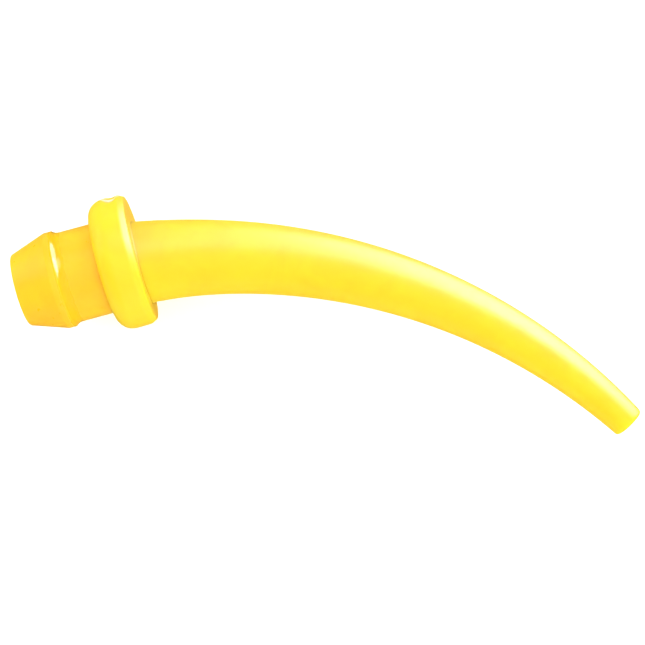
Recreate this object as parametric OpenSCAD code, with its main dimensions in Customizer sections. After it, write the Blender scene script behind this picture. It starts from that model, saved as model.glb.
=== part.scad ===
// Curved suction tip: a barbed connector plug, a stop collar and a curved, tapering tube.
// X runs along the plug's axis towards the tip, the tube bends towards -Y, and Z is up.
// The origin is the centre of the collar's rear face, the seat that the suction line stops at.

/* [Connector plug] */
// Length of the plug behind the seat
plug_len = 5.92; // [5:0.02:8]
// Diameter of the neck, which fills a 1/4 inch line
neck_d = 6.35; // [6.2:0.05:6.5]
// Diameter of the barb's land, which bites into the line
land_d = 6.76; // [6.6:0.02:7.2]
// Length of the land
land_w = 0.52; // [0.2:0.02:0.6]
// Distance from the seat to the land's front edge
land_back = 2.85; // [2.6:0.01:3.6]
// Diameter of the rear rim, where the lead-in cone starts
rim_d = 5.0; // [4.6:0.05:5.6]
// Diameter of the inlet bore
inlet_d = 3.8; // [3.4:0.05:4]
// Length of the sloping ledge between the land and the neck
ledge_w = 0.22; // [0.1:0.02:0.4]
// Radius of the hollow corner at the foot of the ledge
ledge_fillet = 0.45; // [0.2:0.05:0.6]

/* [Collar] */
// Thickness of the collar along the axis
collar_w = 2.65; // [2:0.05:4]
// Largest diameter of the collar, at its crown
collar_d = 9.18; // [8.6:0.02:12]
// Distance from the seat to the crown
crown_x = 1.2; // [0.8:0.05:1.5]
// How far the rounded rear shoulder reaches in from the crown
shoulder = 0.95; // [0.6:0.05:1]
// How much the rim falls from the crown to the front bevel
crown_drop = 0.02; // [0:0.01:0.1]
// Length of the front bevel along the axis
bevel_w = 0.55; // [0.4:0.05:0.8]
// Slope of the front bevel, in degrees
bevel_slope = 27; // [10:1:40]
// Radius where the rim turns into the bevel
bevel_round = 0.5; // [0.1:0.05:0.8]
// Radius of the front edge
front_edge = 0.15; // [0.05:0.01:0.2]
// Depth of the recess that the plug's neck seats in
register = 0.6; // [0.3:0.05:1]

/* [Curved tube] */
// Radius of the arc that the tube's centreline follows
bend_r = 40.3; // [36:0.1:60]
// Distance behind the seat at which the arc leaves the plug's axis
bend_back = 2.54; // [2:0.02:3]
// Angle that the tube has turned through at its tip
bend_angle = 59.5; // [45:0.1:70]
// Outer radius at the collar, before the root flare
root_r = 2.72; // [2.6:0.02:2.9]
// Outer radius at the tip
tip_r = 1.15; // [1.1:0.01:1.6]
// How far the taper bows out at its middle
taper_bow = 0.1; // [0:0.01:0.2]
// Extra radius where the tube meets the collar
root_flare = 0.16; // [0:0.01:0.2]
// Length over which the flare dies away
flare_len = 2.3; // [1:0.1:4]
// Radius of the lumen at the root
lumen_root_r = 1.5; // [1.2:0.05:1.6]
// Radius of the lumen at the tip
lumen_tip_r = 0.7; // [0.4:0.05:0.75]

/* [Spigot joint] */
// Diameter of the tube's straight spigot and of its bores in the collar and the plug
spigot_d = 4.6; // [4.4:0.05:4.7]
// How far the spigot reaches behind the seat
spigot_in = 2.3; // [1.5:0.1:2.5]
// Clearance between the spigot's end and the floor of its socket
spigot_gap = 0.1; // [0.05:0.05:0.3]

/* [Hidden] */

ROUND = 96;            // segments of a turned surface
ARC_STEPS = 8;         // points in a rounded corner
TUBE_SIDES = 40;       // sides of the tube's outer skin
LUMEN_SIDES = 28;      // sides of the lumen
TUBE_RINGS = 40;       // rings along the tube's outer skin
LUMEN_RINGS = 36;      // rings along the lumen
OVERLAP = 0.3;         // how far a cutter or a spigot runs past a face
EDGE = 0.08;           // softening of small outer edges
LEAD_IN = 0.25;        // chamfer at the inlet's mouth

PLUG_YELLOW = [1.0, 0.85, 0.16];
COLLAR_YELLOW = [1.0, 0.93, 0.2];
TUBE_YELLOW = [1.0, 0.91, 0.2];

neck_r = neck_d / 2;
land_r = land_d / 2;
rim_r = rim_d / 2;
inlet_r = inlet_d / 2;
spigot_r = spigot_d / 2;
crown_r = collar_d / 2;
rim_front_r = crown_r - crown_drop;
flat_w = collar_w - bevel_w - crown_x;
bevel_run = bevel_w - bevel_round * sin(bevel_slope) - front_edge * (1 - sin(bevel_slope));
front_r = rim_front_r - bevel_round * (1 - cos(bevel_slope)) - bevel_run * tan(bevel_slope);
socket_x = -(spigot_in + spigot_gap);

// Lengths along the centreline are measured from the point where the arc leaves the axis.
bend_end = bend_r * bend_angle * PI / 180;
root_s = bend_r * asin((collar_w + bend_back) / bend_r) * PI / 180;
tube_len = bend_end - root_s;

// An arc in a section: [radius, height] points about a centre, for angles from a0 to a1.
function arc(centre, r, a0, a1) =
    [for (i = [0:ARC_STEPS]) let (a = a0 + (a1 - a0) * i / ARC_STEPS) centre + r * [cos(a), sin(a)]];

// The section of the plug's outside from the rear rim to the neck's front end.
ledge_slope = atan((land_r - neck_r) / ledge_w);
fillet_set = ledge_fillet * tan(ledge_slope / 2);
fillet_x = -land_back + ledge_w + fillet_set;
function plug_outside() = concat(
    arc([rim_r - EDGE, -plug_len + EDGE], EDGE, -90, -20),
    [[land_r, -land_back - land_w], [land_r, -land_back]],
    arc([neck_r + ledge_fillet, fillet_x], ledge_fillet, 270 - (90 - ledge_slope), 180),
    [[neck_r, register]]
);

// The collar's rim: an elliptical rear shoulder, an almost flat crown and a soft front bevel.
function rear_shoulder() =
    [for (i = [0:2 * ARC_STEPS]) let (a = 45 * i / ARC_STEPS)
        [crown_r - shoulder * (1 - sin(a)), crown_x * (1 - cos(a))]];
function crown() =
    [for (i = [1:ARC_STEPS - 1]) let (t = i / ARC_STEPS)
        [crown_r - crown_drop * t * t, crown_x + flat_w * t]];
function front_rim() = concat(
    arc([rim_front_r - bevel_round, collar_w - bevel_w], bevel_round, 0, bevel_slope),
    arc([front_r - front_edge * cos(bevel_slope), collar_w - front_edge], front_edge, bevel_slope, 90)
);

// Turns a section of [radius, height] points about the X axis.
module turned(section)
    rotate([0, 90, 0])
        rotate_extrude($fn = ROUND)
            polygon(section);

// Heading of the centreline at length s, in degrees below the X axis.
function heading(s) = min(max(s, 0), bend_end) / bend_r * 180 / PI;

// Point of the centreline at length s: straight, then the arc, then straight past the tip.
function centre(s) =
    let (a = heading(s), past = s - min(max(s, 0), bend_end))
        [bend_r * sin(a) - bend_back + past * cos(a), bend_r * (cos(a) - 1) - past * sin(a), 0];

// Radii of the outer skin and of the lumen at length s.
function skin_r(s) =
    let (u = (s - root_s) / tube_len)
        root_r + (tip_r - root_r) * u + 4 * taper_bow * u * (1 - u)
        + root_flare * exp(-u * tube_len / flare_len);
function lumen_r(s) =
    let (u = min(max((s - root_s) / tube_len, 0), 1))
        lumen_root_r + (lumen_tip_r - lumen_root_r) * u;

// One ring of points about the centreline, in the plane square to it.
function ring(s, r, sides) =
    let (a = heading(s))
        [for (j = [0:sides - 1]) let (t = 360 * j / sides)
            centre(s) + r * [cos(t) * sin(a), cos(t) * cos(a), sin(t)]];

// The same ring slid along the tube on to the plane of the collar's front face.
function seated_ring(s, r, sides) =
    let (a = heading(s))
        [for (p = ring(s, r, sides)) p + (collar_w - p[0]) / cos(a) * [cos(a), -sin(a), 0]];

// A closed solid through rings that all have the same number of points.
module skinned(rings) {
    sides = len(rings[0]);
    last = (len(rings) - 1) * sides;
    walls = [for (i = [0:len(rings) - 2], j = [0:sides - 1], half = [0, 1])
        let (a = i * sides + j, b = i * sides + (j + 1) % sides)
            half == 0 ? [a, b + sides, b] : [a, a + sides, b + sides]];
    rear_cap = [for (j = [0:sides - 1]) j];
    front_cap = [for (j = [0:sides - 1]) last + sides - 1 - j];
    polyhedron(points = [for (r = rings) each r], faces = concat(walls, [rear_cap, front_cap]));
}

module tube_skin()
    skinned(concat(
        [seated_ring(root_s, skin_r(root_s), TUBE_SIDES)],
        [for (i = [1:TUBE_RINGS]) let (s = root_s + tube_len * i / TUBE_RINGS)
            ring(s, skin_r(s), TUBE_SIDES)]
    ));

module lumen() {
    start = bend_back - spigot_in - OVERLAP;
    skinned(concat(
        [ring(start, lumen_root_r, LUMEN_SIDES)],
        [for (i = [0:LUMEN_RINGS]) let (s = bend_end * i / LUMEN_RINGS) ring(s, lumen_r(s), LUMEN_SIDES)],
        [ring(bend_end + OVERLAP, lumen_tip_r, LUMEN_SIDES)]
    ));
}

// Barbed plug with a through bore and a socket for the tube's spigot.
module connector_plug()
    color(PLUG_YELLOW)
        turned(concat(
            plug_outside(),
            [[spigot_r, register], [spigot_r, socket_x], [inlet_r, socket_x]],
            [[inlet_r, -plug_len + LEAD_IN], [inlet_r + LEAD_IN, -plug_len]]
        ));

// Stop ring: recessed behind for the plug's neck, bored through for the spigot.
module collar()
    color(COLLAR_YELLOW)
        turned(concat(
            [[spigot_r, register], [neck_r, register], [neck_r, 0]],
            rear_shoulder(), crown(), front_rim(),
            [[spigot_r, collar_w]]
        ));

// Tapering tube along the arc, with a shoulder on the collar and a spigot through it.
module curved_tube()
    color(TUBE_YELLOW)
        difference() {
            union() {
                tube_skin();
                translate([-spigot_in, 0, 0])
                    rotate([0, 90, 0])
                        cylinder(r = spigot_r, h = spigot_in + collar_w + OVERLAP, $fn = ROUND);
            }
            lumen();
        }

connector_plug();
collar();
curved_tube();
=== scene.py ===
"""Looks of the curved suction tip: barbed connector plug, stop collar and curved, tapering tube.

Sizes are in millimetres in the CAD part's frame and are scaled to metres where a mesh is made.
X runs along the plug's axis to the tip, the tube bends towards -Y, and Z is up from the floor.
"""
import math

import bpy
import bmesh
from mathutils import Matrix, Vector


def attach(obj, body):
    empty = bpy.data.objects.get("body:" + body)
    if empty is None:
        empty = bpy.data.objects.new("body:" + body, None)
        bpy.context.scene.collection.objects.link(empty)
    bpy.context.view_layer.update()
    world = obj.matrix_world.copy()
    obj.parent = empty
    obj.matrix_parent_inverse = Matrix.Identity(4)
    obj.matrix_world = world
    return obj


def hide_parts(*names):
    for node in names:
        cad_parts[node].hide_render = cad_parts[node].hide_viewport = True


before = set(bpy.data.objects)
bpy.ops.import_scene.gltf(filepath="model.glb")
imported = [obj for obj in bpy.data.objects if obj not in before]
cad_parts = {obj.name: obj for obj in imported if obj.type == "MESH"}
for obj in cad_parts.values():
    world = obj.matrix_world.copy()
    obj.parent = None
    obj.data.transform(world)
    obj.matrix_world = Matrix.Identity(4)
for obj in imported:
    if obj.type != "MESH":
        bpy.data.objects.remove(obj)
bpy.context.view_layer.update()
MM = 0.001

# ---- sizes, the same as the CAD part's ------------------------------------------------------
PLUG_LEN, NECK_R, LAND_R, LAND_W, LAND_BACK = 5.92, 3.175, 3.38, 0.52, 2.85
RIM_R, INLET_R, LEAD_IN = 2.5, 1.9, 0.25
LEDGE_W = 0.22
COLLAR_W, CROWN_R, CROWN_X, SHOULDER, CROWN_DROP = 2.65, 4.59, 1.2, 0.95, 0.02
BEVEL_W, BEVEL_SLOPE, BEVEL_ROUND, FRONT_EDGE = 0.55, math.radians(27), 0.5, 0.15
REGISTER = 0.6
BEND_R, BEND_BACK, BEND_ANGLE = 40.3, 2.54, math.radians(59.5)
ROOT_R, TIP_R, TAPER_BOW, ROOT_FLARE, FLARE_LEN = 2.72, 1.15, 0.1, 0.16, 2.3
LUMEN_ROOT_R, LUMEN_TIP_R = 1.5, 0.7
SPIGOT_R, SPIGOT_IN, SPIGOT_GAP = 2.3, 2.3, 0.1

SOCKET_X = -(SPIGOT_IN + SPIGOT_GAP)
BEND_END = BEND_R * BEND_ANGLE
ROOT_S = BEND_R * math.asin((COLLAR_W + BEND_BACK) / BEND_R)
TUBE_LEN = BEND_END - ROOT_S

# ---- moulding detail, which only the looks have ---------------------------------------------
FIT_GAP = 0.01                           # faces that touch are this far apart or overlap by it,
                                         # so that no two coincide
RIM_EDGE, LAND_EDGE, MOUTH_EDGE = 0.14, 0.1, 0.12
SMALL_EDGE, SOCKET_EDGE, SOCKET_FOOT = 0.05, 0.03, 0.08
LEDGE_FILLET = 0.66                      # hollow foot of the ledge, wider than the CAD's 0.45
PARTING_H, PARTING_W = 0.018, 0.07       # ridge where the mould's halves met, in the bend's plane
PARTING_END = -0.1                       # X at which the plug's ridge stops, behind the collar
ROOT_FILLET = 0.08                       # where the tube rises from the collar
SKIN_START = 0.6                         # from the root to the first ring square to the bend
LIP_R, LIP_IN_R = 0.2, 0.1               # rounding of the tip's lip, outside and inside
SPIGOT_EDGE, SPIGOT_CHAMFER, LUMEN_EDGE = 0.12, 0.15, 0.06
COLLAR_BORE_EDGE = 0.04
BORE_SIDE = 2.3                          # behind the land, what is nearer the axis is the bore's
RIM_FROM = NECK_R + 0.5                  # the collar's rim; its faces and bores are nearer

# scar of the mould's gate on the collar's rim: a shallow hollow with a thin raised lip
GATE_AT, GATE_X = math.radians(13), 1.7
GATE_W, GATE_LONG, GATE_DEEP, GATE_LIP = 0.4, 1.1, 0.2, 0.02
LIP_AT, LIP_W = 1.25, 0.25               # in units of the scar's own half width
GLINT_AT = (GATE_X, 4.45, 1.03)           # middle of the painted highlight on the gate's scar

# ---- fineness of the meshes -----------------------------------------------------------------
PLUG_SIDES, COLLAR_SIDES, TUBE_SIDES = 128, 240, 112
PLUG_STEP, COLLAR_STEP = 0.35, 0.3       # longest straight stretch of a section
TUBE_RINGS, LUMEN_RINGS = 150, 80
LUMEN_END = 0.2                          # place on the centreline close to the spigot's end
SPIGOT_RING = -0.5                       # X of one more ring along the spigot
SHOULDER_STEPS, CROWN_STEPS, CREST_STEPS, FRONT_STEPS = 16, 8, 8, 6
FILLET_STEPS, LIP_STEPS, LIP_IN_STEPS = 6, 8, 5
LIP_RIDGE_STEPS = 6                      # the parting ridge ends at this step of the lip
NEAR_RIDGE = (0.7, 1.6, 2.8)             # degrees from a parting line of the extra angles
MOST_OF = 0.9                            # of a straight stretch that one fillet may take up

# ---- view and lights ------------------------------------------------------------------------
PHOTO_ROLL = math.radians(-15.15)
SENSOR, LENS = 36.0, 95.6
CLIP_NEAR, CLIP_FAR = 0.001, 20
IMAGE_RIGHT = Vector((math.cos(PHOTO_ROLL), math.sin(PHOTO_ROLL), 0))
IMAGE_UP = Vector((-math.sin(PHOTO_ROLL), math.cos(PHOTO_ROLL), 0))
PICTURE_UP = 0.076                       # the camera is this much lower, to lift the part
CAMERA_AT = (Vector((13.59, -7.51, 118.2)) - PICTURE_UP * IMAGE_UP) * MM
AIM = Vector((14, -7, 0)) * MM
LIGHT_FAR = 230
# name, degrees round from the picture's right, degrees up, size, watts, fills, shines
LAMPS = [
    ("key", 47, 26, (110, 200), 0.22, True, True),
    ("key_top", 85, 48, (150, 110), 0.085, True, True),
    ("sheen", 50, 6, (300, 340), 1.45, False, True),
    ("overhead", 0, 84, (320, 320), 0.285, True, False),
    ("fill_left", 155, 24, (220, 160), 0.32, True, False),
    ("fill_low", 300, 26, (240, 160), 0.4, True, False),
]
SKY, BELOW = 0.32, 0.1                   # strength of the studio's walls above and below
SKY_FROM, SKY_TO = -0.3, 0.1             # height at which one turns into the other
FLOOR_WHITE, FLOOR_DULL, FLOOR_SHINE, FLOOR_GLOW, FLOOR_SIZE = 0.93, 0.9, 0.1, 0.3, 3.0

# ---- plastic --------------------------------------------------------------------------------
IOR, SHINE = 1.49, 0.9
SCATTER_MIX = (1.0, 0.8, 0.2)            # how deep red, green and blue go, of the depth given
# noise patterns: scale per mm, detail, roughness and, for the clouds, distortion
CLOUDS, CLOUD_RANGE = (0.32, 4.0, 0.55, 0.6), (0.36, 0.64)
UNEVEN, UNEVEN_RANGE = (1.4, 3.0, 0.6), (0.3, 0.7)
GLOSSIER, DULLER = -0.05, 0.06           # how far the roughness drifts over that range
WAVES, WAVES_STRENGTH, WAVES_MM = (0.55, 2.0, 0.5), 0.15, 0.03
PEEL, PEEL_STRENGTH, PEEL_MM = (5.0, 2.0, 0.5), 0.08, 0.01
GLINT_RAGS, GLINT_RAGS_MM = (3.5, 2.0, 0.6), 0.5     # ragged edge of the painted highlight
# pale colour of the painted highlight on the gate's scar, and its greatest share
GLINT_COLOUR, GLINT_MOST = (1.0, 0.97, 0.8, 1), 0.8
GLINT_FROM, GLINT_TO = 0.6, 0.95           # mm from its middle, with the rags added
POLISH = 0.3                             # share of its roughness that a polished band keeps
POLISH_FADES = 3                         # half widths from its middle to where none is left


# ---- mesh helpers ---------------------------------------------------------------------------
def turn_angles(count):
    """Angles round an axis, with extra ones close to the two parting lines."""
    extra = [math.radians(d) for d in NEAR_RIDGE]
    angles = {round(2 * math.pi * i / count, 6) for i in range(count)}
    for line in (0.0, math.pi):
        angles |= {round((line + s * e) % (2 * math.pi), 6) for e in extra for s in (-1, 1)}
    return sorted(angles)


def rounded(corners, steps=FILLET_STEPS):
    """A closed section from (x, r, fillet) corners, each rounded to its fillet."""
    out, count = [], len(corners)
    for i, (x, r, fillet) in enumerate(corners):
        here = Vector((x, r))
        back = Vector(corners[i - 1][:2]) - here
        ahead = Vector(corners[(i + 1) % count][:2]) - here
        back_dir, ahead_dir = back.normalized(), ahead.normalized()
        half = math.acos(max(-1, min(1, back_dir.dot(ahead_dir)))) / 2
        reach = min(fillet / math.tan(half), MOST_OF * back.length, MOST_OF * ahead.length)
        radius = reach * math.tan(half)
        middle = here + (back_dir + ahead_dir).normalized() * (radius / math.sin(half))
        start = here + back_dir * reach - middle
        end = here + ahead_dir * reach - middle
        a0 = math.atan2(start.y, start.x)
        sweep = (math.atan2(end.y, end.x) - a0 + math.pi) % (2 * math.pi) - math.pi
        for k in range(steps + 1):
            a = a0 + sweep * k / steps
            out.append((middle.x + radius * math.cos(a), middle.y + radius * math.sin(a)))
    return out


def split_long(section, longest):
    """The same closed section with its long straight stretches divided."""
    out = []
    for (x0, r0), (x1, r1) in zip(section, section[1:] + section[:1]):
        parts = max(1, math.ceil(math.hypot(x1 - x0, r1 - r0) / longest))
        out += [(x0 + (x1 - x0) * k / parts, r0 + (r1 - r0) * k / parts) for k in range(parts)]
    return out


def parting(t, r):
    """Extra radius of the parting ridge at angle t on a round skin of radius r."""
    off = abs(math.sin(t)) * r
    return PARTING_H * math.exp(-((off / PARTING_W) ** 2))


def closed_mesh(name, rings):
    """A smooth closed mesh through rings of points that join end to end, in millimetres."""
    bm = bmesh.new()
    rows = [[bm.verts.new(Vector(p) * MM) for p in ring_points] for ring_points in rings]
    sides = len(rows[0])
    for i, row in enumerate(rows):
        after = rows[(i + 1) % len(rows)]
        for j in range(sides):
            k = (j + 1) % sides
            bm.faces.new((row[j], row[k], after[k], after[j]))
    bmesh.ops.recalc_face_normals(bm, faces=bm.faces)
    for face in bm.faces:
        face.smooth = True
    mesh = bpy.data.meshes.new(name)
    bm.to_mesh(mesh)
    bm.free()
    obj = bpy.data.objects.new(name, mesh)
    bpy.context.scene.collection.objects.link(obj)
    return obj


def turned(name, section, count, shape):
    """Turns a closed section about the X axis; shape may move each point by its angle."""
    rings = []
    for x, r in section:
        points = []
        for t in turn_angles(count):
            px, pr = shape(x, r, t)
            points.append((px, pr * math.cos(t), pr * math.sin(t)))
        rings.append(points)
    return closed_mesh(name, rings)


def arc(x, r, radius, a0, a1, steps):
    """Points of an arc about (x, r); angle 0 faces away from the axis, 90 degrees faces forward."""
    angles = [a0 + (a1 - a0) * i / steps for i in range(steps + 1)]
    return [(x + radius * math.sin(a), r + radius * math.cos(a)) for a in angles]


# ---- sub-parts ------------------------------------------------------------------------------
def connector_plug():
    """Barbed plug: rear rim, lead-in cone, land, ledge with a hollow foot, neck, bore, socket."""
    neck = NECK_R - FIT_GAP
    socket = SPIGOT_R + FIT_GAP
    section = split_long(rounded([
        (-PLUG_LEN, RIM_R, RIM_EDGE),
        (-LAND_BACK - LAND_W, LAND_R, LAND_EDGE),
        (-LAND_BACK, LAND_R, SMALL_EDGE),
        (-LAND_BACK + LEDGE_W, neck, LEDGE_FILLET),
        (REGISTER - FIT_GAP, neck, SMALL_EDGE),
        (REGISTER - FIT_GAP, socket, SOCKET_EDGE),
        (SOCKET_X, socket, SOCKET_FOOT),
        (SOCKET_X, INLET_R, SMALL_EDGE),
        (-PLUG_LEN + LEAD_IN, INLET_R, MOUTH_EDGE),
        (-PLUG_LEN, INLET_R + LEAD_IN, SMALL_EDGE),
    ]), PLUG_STEP)

    def shape(x, r, t):
        outside = r > NECK_R - 2 * FIT_GAP or (x < -LAND_BACK and r > BORE_SIDE)
        return x, r + (parting(t, r) if outside and x < PARTING_END else 0)

    return turned("plug_shell", section, PLUG_SIDES, shape)


def collar_rim():
    """The collar's outer edge: domed rear shoulder, almost flat crown and soft front bevel."""
    rear = []
    for i in range(SHOULDER_STEPS + 1):
        a = math.pi / 2 * i / SHOULDER_STEPS
        rear.append((CROWN_X * (1 - math.cos(a)), CROWN_R - SHOULDER * (1 - math.sin(a))))
    flat = COLLAR_W - BEVEL_W - CROWN_X
    crown = [(CROWN_X + flat * i / CROWN_STEPS, CROWN_R - CROWN_DROP * (i / CROWN_STEPS) ** 2)
             for i in range(1, CROWN_STEPS)]
    top = CROWN_R - CROWN_DROP
    sine, cosine = math.sin(BEVEL_SLOPE), math.cos(BEVEL_SLOPE)
    run = BEVEL_W - BEVEL_ROUND * sine - FRONT_EDGE * (1 - sine)
    front = top - BEVEL_ROUND * (1 - cosine) - run * math.tan(BEVEL_SLOPE)
    return (rear + crown
            + arc(COLLAR_W - BEVEL_W, top - BEVEL_ROUND, BEVEL_ROUND,
                  0, BEVEL_SLOPE, CREST_STEPS)
            + arc(COLLAR_W - FRONT_EDGE, front - FRONT_EDGE * cosine, FRONT_EDGE,
                  BEVEL_SLOPE, math.pi / 2, FRONT_STEPS))


def stop_collar():
    """Stop ring: domed rear shoulder, soft front bevel and a scar where the gate broke off."""
    bore = SPIGOT_R + FIT_GAP
    seat = NECK_R - 2 * FIT_GAP
    section = split_long([(0.0, seat + FIT_GAP)] + collar_rim()
                         + [(COLLAR_W, bore + COLLAR_BORE_EDGE),
                            (COLLAR_W - COLLAR_BORE_EDGE, bore), (REGISTER, bore),
                            (REGISTER, seat), (FIT_GAP, seat)], COLLAR_STEP)

    def shape(x, r, t):
        if r < RIM_FROM:
            return x, r
        round_off = math.remainder(t - GATE_AT, 2 * math.pi) * r
        d = math.hypot((x - GATE_X) / GATE_W, round_off / GATE_LONG)
        scar = -GATE_DEEP * math.exp(-d ** 4) + GATE_LIP * math.exp(-((d - LIP_AT) / LIP_W) ** 2)
        return x, r + scar + parting(t, r)

    return turned("stop_collar", section, COLLAR_SIDES, shape)


def heading(s):
    """How far the centreline has turned at length s."""
    return s / BEND_R


def centre(s):
    """Point of the tube's centreline at length s."""
    a = heading(s)
    return Vector((BEND_R * math.sin(a) - BEND_BACK, BEND_R * (math.cos(a) - 1), 0))


def skin_r(s):
    u = (s - ROOT_S) / TUBE_LEN
    return (ROOT_R + (TIP_R - ROOT_R) * u + 4 * TAPER_BOW * u * (1 - u)
            + ROOT_FLARE * math.exp(-u * TUBE_LEN / FLARE_LEN))


def lumen_r(s):
    u = max((s - ROOT_S) / TUBE_LEN, 0)
    return LUMEN_ROOT_R + (LUMEN_TIP_R - LUMEN_ROOT_R) * u


def ring(s, r, angles, ridge=False):
    """Points round the centreline at length s, in the plane square to it."""
    a = heading(s)
    out = []
    for t in angles:
        rr = r + (parting(t, r) if ridge else 0)
        out.append(centre(s) + rr * Vector((math.cos(t) * math.sin(a),
                                            math.cos(t) * math.cos(a), math.sin(t))))
    return out


def on_collar(points, s, x):
    """Points slid along the tube's heading at s until they reach the plane at x."""
    a = heading(s)
    along = Vector((math.cos(a), -math.sin(a), 0))
    return [p + along * ((x - p.x) / math.cos(a)) for p in points]


def root_rings(angles, steps=FILLET_STEPS):
    """The fillet from the collar's face out to the skin."""
    rings = []
    for k in range(steps + 1):
        a = math.pi / 2 * k / steps
        grow = ROOT_FILLET * (1 - math.sin(a))
        x = COLLAR_W - FIT_GAP + ROOT_FILLET * (1 - math.cos(a))
        rings.append(on_collar(ring(ROOT_S, skin_r(ROOT_S) + grow, angles), ROOT_S, x))
    return rings


def lip_rings(angles):
    """The tip's lip, over the end and into the lumen."""
    rings = []
    for k in range(1, LIP_STEPS + 1):
        a = math.pi / 2 * k / LIP_STEPS
        rings.append(ring(BEND_END - LIP_R * (1 - math.sin(a)),
                          skin_r(BEND_END) - LIP_R * (1 - math.cos(a)), angles,
                          ridge=k < LIP_RIDGE_STEPS))
    for k in range(LIP_IN_STEPS + 1):
        a = math.pi / 2 * k / LIP_IN_STEPS
        rings.append(ring(BEND_END - LIP_IN_R * (1 - math.cos(a)),
                          LUMEN_TIP_R + LIP_IN_R * (1 - math.sin(a)), angles))
    return rings


def spigot_rings(angles):
    """The spigot's end, and its outside back to the shoulder on the collar."""
    section = ((-SPIGOT_IN + LUMEN_EDGE, LUMEN_ROOT_R), (-SPIGOT_IN, LUMEN_ROOT_R + LUMEN_EDGE),
               (-SPIGOT_IN, SPIGOT_R - SPIGOT_CHAMFER), (-SPIGOT_IN + SPIGOT_EDGE, SPIGOT_R),
               (SPIGOT_RING, SPIGOT_R), (COLLAR_W - FIT_GAP, SPIGOT_R))
    return [[Vector((x, r * math.cos(t), r * math.sin(t))) for t in angles] for x, r in section]


def curved_tube():
    """Tapering tube on its arc: root fillet, skin, rounded lip, lumen and the hidden spigot."""
    angles = turn_angles(TUBE_SIDES)
    rings = root_rings(angles)
    first, last = ROOT_S + SKIN_START, BEND_END - LIP_R
    for i in range(TUBE_RINGS + 1):
        s = first + (last - first) * i / TUBE_RINGS
        rings.append(ring(s, skin_r(s), angles, ridge=i > 1))
    rings += lip_rings(angles)
    mouth = BEND_END - LIP_IN_R
    for i in range(1, LUMEN_RINGS):
        s = mouth - (mouth - LUMEN_END) * i / LUMEN_RINGS
        rings.append(ring(s, lumen_r(s), angles))
    return closed_mesh("curved_tube_skin", rings + spigot_rings(angles))


# ---- node helpers ---------------------------------------------------------------------------
def put(node, values):
    """Sets the values of a node's own sockets."""
    for socket, value in values.items():
        node.inputs[socket].default_value = value


def place_in_mm(tree):
    """Object coordinates in millimetres."""
    where = tree.nodes.new("ShaderNodeTexCoord")
    to_mm = tree.nodes.new("ShaderNodeMapping")
    put(to_mm, {"Scale": (1 / MM, 1 / MM, 1 / MM)})
    tree.links.new(where.outputs["Object"], to_mm.inputs["Vector"])
    return to_mm.outputs["Vector"]


def noise(tree, place, scale, detail, roughness, distortion=0.0):
    node = tree.nodes.new("ShaderNodeTexNoise")
    put(node, {"Scale": scale, "Detail": detail, "Roughness": roughness,
               "Distortion": distortion})
    tree.links.new(place, node.inputs["Vector"])
    return node.outputs["Fac"]


def remap(tree, value, low, high, to_low, to_high, smooth=False):
    """Value brought from low..high to to_low..to_high."""
    node = tree.nodes.new("ShaderNodeMapRange")
    if smooth:
        node.interpolation_type = "SMOOTHSTEP"
    put(node, {"From Min": low, "From Max": high, "To Min": to_low, "To Max": to_high})
    tree.links.new(value, node.inputs["Value"])
    return node.outputs["Result"]


def maths(tree, operation, *terms):
    """One arithmetic step on sockets and numbers."""
    node = tree.nodes.new("ShaderNodeMath")
    node.operation = operation
    for i, term in enumerate(terms):
        if isinstance(term, bpy.types.NodeSocket):
            tree.links.new(term, node.inputs[i])
        else:
            node.inputs[i].default_value = term
    return node.outputs["Value"]


def bump(tree, height, strength, depth_mm, below=None):
    node = tree.nodes.new("ShaderNodeBump")
    put(node, {"Strength": strength, "Distance": depth_mm * MM})
    tree.links.new(height, node.inputs["Height"])
    if below:
        tree.links.new(below, node.inputs["Normal"])
    return node.outputs["Normal"]


# ---- materials ------------------------------------------------------------------------------
def cloudy(tree, place, deep, light):
    """Colour that drifts between deep and light in soft clouds."""
    ramp = tree.nodes.new("ShaderNodeValToRGB")
    for stop, position, colour in zip(ramp.color_ramp.elements, CLOUD_RANGE, (deep, light)):
        stop.position = position
        stop.color = (*colour, 1)
    tree.links.new(noise(tree, place, *CLOUDS), ramp.inputs["Fac"])
    return ramp.outputs["Color"]


def painted_glint(tree, place, colour, gate):
    """Colour turned pale and ragged round the torn gate: a painted highlight standing in for the
    glint on the scar.
    """
    away = tree.nodes.new("ShaderNodeVectorMath")
    away.operation = "DISTANCE"
    away.inputs[1].default_value = gate
    tree.links.new(place, away.inputs[0])
    ragged = maths(tree, "MULTIPLY_ADD", noise(tree, place, *GLINT_RAGS), GLINT_RAGS_MM,
                   away.outputs["Value"])
    mix = tree.nodes.new("ShaderNodeMix")
    mix.data_type = "RGBA"
    put(mix, {"B": GLINT_COLOUR})
    tree.links.new(remap(tree, ragged, GLINT_FROM, GLINT_TO, GLINT_MOST, 0.0), mix.inputs["Factor"])
    tree.links.new(colour, mix.inputs["A"])
    return mix.outputs["Result"]


def glossier(tree, place, roughness, middle, half):
    """Roughness lowered in a band along X that has soft edges."""
    split = tree.nodes.new("ShaderNodeSeparateXYZ")
    tree.links.new(place, split.inputs["Vector"])
    off = maths(tree, "ABSOLUTE", maths(tree, "SUBTRACT", split.outputs["X"], middle))
    return maths(tree, "MULTIPLY", roughness,
                 remap(tree, off, half, POLISH_FADES * half, POLISH, 1.0, smooth=True))


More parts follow.
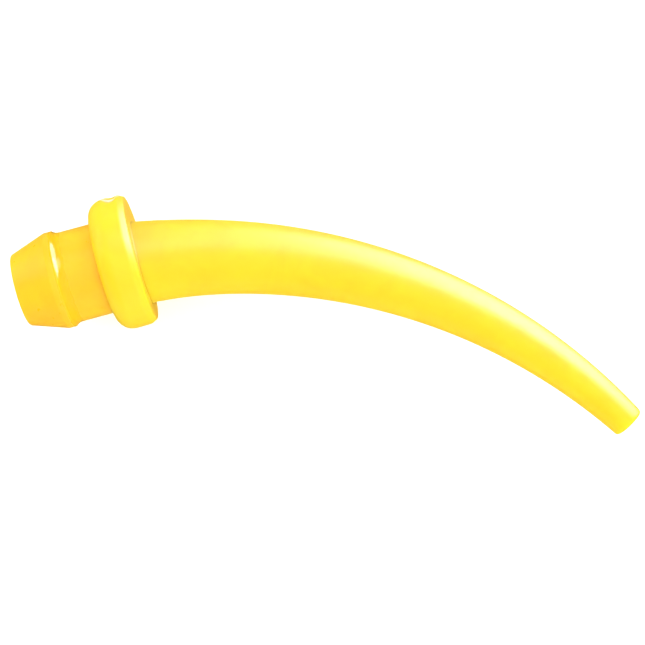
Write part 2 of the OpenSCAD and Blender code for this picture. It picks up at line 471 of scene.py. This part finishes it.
def moulded_plastic(name, deep, light, rough, scatter, gate=None, polished=None):
    """Translucent injection-moulded plastic: cloudy colour, uneven gloss, waves and fine peel.

    scatter is the weight and the depth in mm, gate the middle of a painted highlight on a torn
    gate, and polished the middle and half width of a band along X that a smooth mould edge left
    glossy.
    """
    mat = bpy.data.materials.new(name)
    mat.use_nodes = True
    tree = mat.node_tree
    tree.nodes.clear()
    out = tree.nodes.new("ShaderNodeOutputMaterial")
    shader = tree.nodes.new("ShaderNodeBsdfPrincipled")
    tree.links.new(shader.outputs["BSDF"], out.inputs["Surface"])
    put(shader, {"IOR": IOR, "Specular IOR Level": SHINE,
                 "Subsurface Weight": scatter[0], "Subsurface Scale": scatter[1] * MM,
                 "Subsurface Radius": SCATTER_MIX})

    place = place_in_mm(tree)
    colour = cloudy(tree, place, deep, light)
    # a painted highlight round the gate's scar
    if gate:
        colour = painted_glint(tree, place, colour, gate)
    tree.links.new(colour, shader.inputs["Base Color"])

    uneven = noise(tree, place, *UNEVEN)
    roughness = remap(tree, uneven, *UNEVEN_RANGE, rough + GLOSSIER, rough + DULLER)
    if polished:
        roughness = glossier(tree, place, roughness, *polished)
    tree.links.new(roughness, shader.inputs["Roughness"])

    waves = bump(tree, noise(tree, place, *WAVES), WAVES_STRENGTH, WAVES_MM)
    peel = bump(tree, noise(tree, place, *PEEL), PEEL_STRENGTH, PEEL_MM, below=waves)
    tree.links.new(peel, shader.inputs["Normal"])
    return mat


def floor_material():
    mat = bpy.data.materials.new("pale_floor")
    mat.use_nodes = True
    put(mat.node_tree.nodes["Principled BSDF"], {
        "Base Color": (FLOOR_WHITE, FLOOR_WHITE, FLOOR_WHITE, 1),
        "Roughness": FLOOR_DULL,
        "Specular IOR Level": FLOOR_SHINE,
        "Emission Color": (1, 1, 1, 1),
        "Emission Strength": FLOOR_GLOW,
    })
    return mat


# ---- stage, lights and camera ---------------------------------------------------------------
def pale_floor():
    bm = bmesh.new()
    bmesh.ops.create_grid(bm, x_segments=1, y_segments=1, size=FLOOR_SIZE)
    mesh = bpy.data.meshes.new("floor")
    bm.to_mesh(mesh)
    bm.free()
    floor = bpy.data.objects.new("floor", mesh)
    floor.location = (0, 0, -(CROWN_R + PARTING_H) * MM)
    mesh.materials.append(floor_material())
    # the photo's part reflects no white table, and is lit from past its edge too
    floor.visible_glossy = False
    floor.visible_shadow = False
    bpy.context.scene.collection.objects.link(floor)


def photo_camera():
    data = bpy.data.cameras.new("camera")
    data.sensor_width = SENSOR
    data.lens = LENS
    data.clip_start, data.clip_end = CLIP_NEAR, CLIP_FAR
    camera = bpy.data.objects.new("camera", data)
    camera.location = CAMERA_AT
    camera.rotation_euler = (0, 0, PHOTO_ROLL)
    bpy.context.scene.collection.objects.link(camera)
    bpy.context.scene.camera = camera


def softbox(name, round_deg, up_deg, size, power, fills, shines):
    """A soft light aimed at the part: round_deg in the photo's plane from its right, up_deg up.

    One that fills lights the part's own colour, and one that shines is seen in its gloss.
    """
    data = bpy.data.lights.new(name, "AREA")
    data.shape = "ELLIPSE"
    data.size, data.size_y = size[0] * MM, size[1] * MM
    data.energy = power
    lamp = bpy.data.objects.new(name, data)
    a, e = math.radians(round_deg), math.radians(up_deg)
    out = (IMAGE_RIGHT * math.cos(a) * math.cos(e) + IMAGE_UP * math.sin(a) * math.cos(e)
           + Vector((0, 0, math.sin(e))))
    lamp.location = AIM + out * LIGHT_FAR * MM
    lamp.rotation_euler = (-out).to_track_quat("-Z", "Y").to_euler()
    lamp.visible_camera = False
    lamp.visible_diffuse = fills
    lamp.visible_glossy = shines
    bpy.context.scene.collection.objects.link(lamp)


def studio():
    """Dim pale walls, darker below the floor's level, and the lamps."""
    world = bpy.data.worlds.new("studio")
    world.use_nodes = True
    tree = world.node_tree
    back = tree.nodes["Background"]
    put(back, {"Color": (1, 1, 1, 1)})
    where = tree.nodes.new("ShaderNodeTexCoord")
    split = tree.nodes.new("ShaderNodeSeparateXYZ")
    tree.links.new(where.outputs["Generated"], split.inputs["Vector"])
    walls = remap(tree, split.outputs["Z"], SKY_FROM, SKY_TO, BELOW, SKY, smooth=True)
    tree.links.new(walls, back.inputs["Strength"])
    bpy.context.scene.world = world
    for lamp in LAMPS:
        softbox(*lamp)
    # the default view transform can't show so strong a yellow
    bpy.context.scene.view_settings.view_transform = "Standard"
    bpy.context.scene.view_settings.look = "None"


# ---- the object -----------------------------------------------------------------------------
# function, CAD node and slot, then the plastic: two colours, roughness, scatter's weight and mm
PIECES = [
    (connector_plug, "connector_plug", "plug_plastic",
     moulded_plastic("plug_yellow", (0.94, 0.51, 0.003), (0.96, 0.57, 0.005), 0.32, (0.4, 1.0),
                     polished=(-2.6, 0.16))),
    # the collar's plastic carries a painted highlight at its gate's scar
    (stop_collar, "collar", "collar_plastic",
     moulded_plastic("collar_yellow", (0.95, 0.61, 0.004), (0.97, 0.66, 0.006), 0.37, (0.4, 1.2),
                     gate=GLINT_AT)),
    (curved_tube, "curved_tube", "tube_plastic",
     moulded_plastic("tube_yellow", (0.95, 0.58, 0.003), (0.97, 0.63, 0.005), 0.43, (0.6, 1.6))),
]
for build, node, slot, material in PIECES:
    piece = build()
    piece.data.materials.append(material)
    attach(piece, "root")
    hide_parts(node)

pale_floor()
photo_camera()
studio()
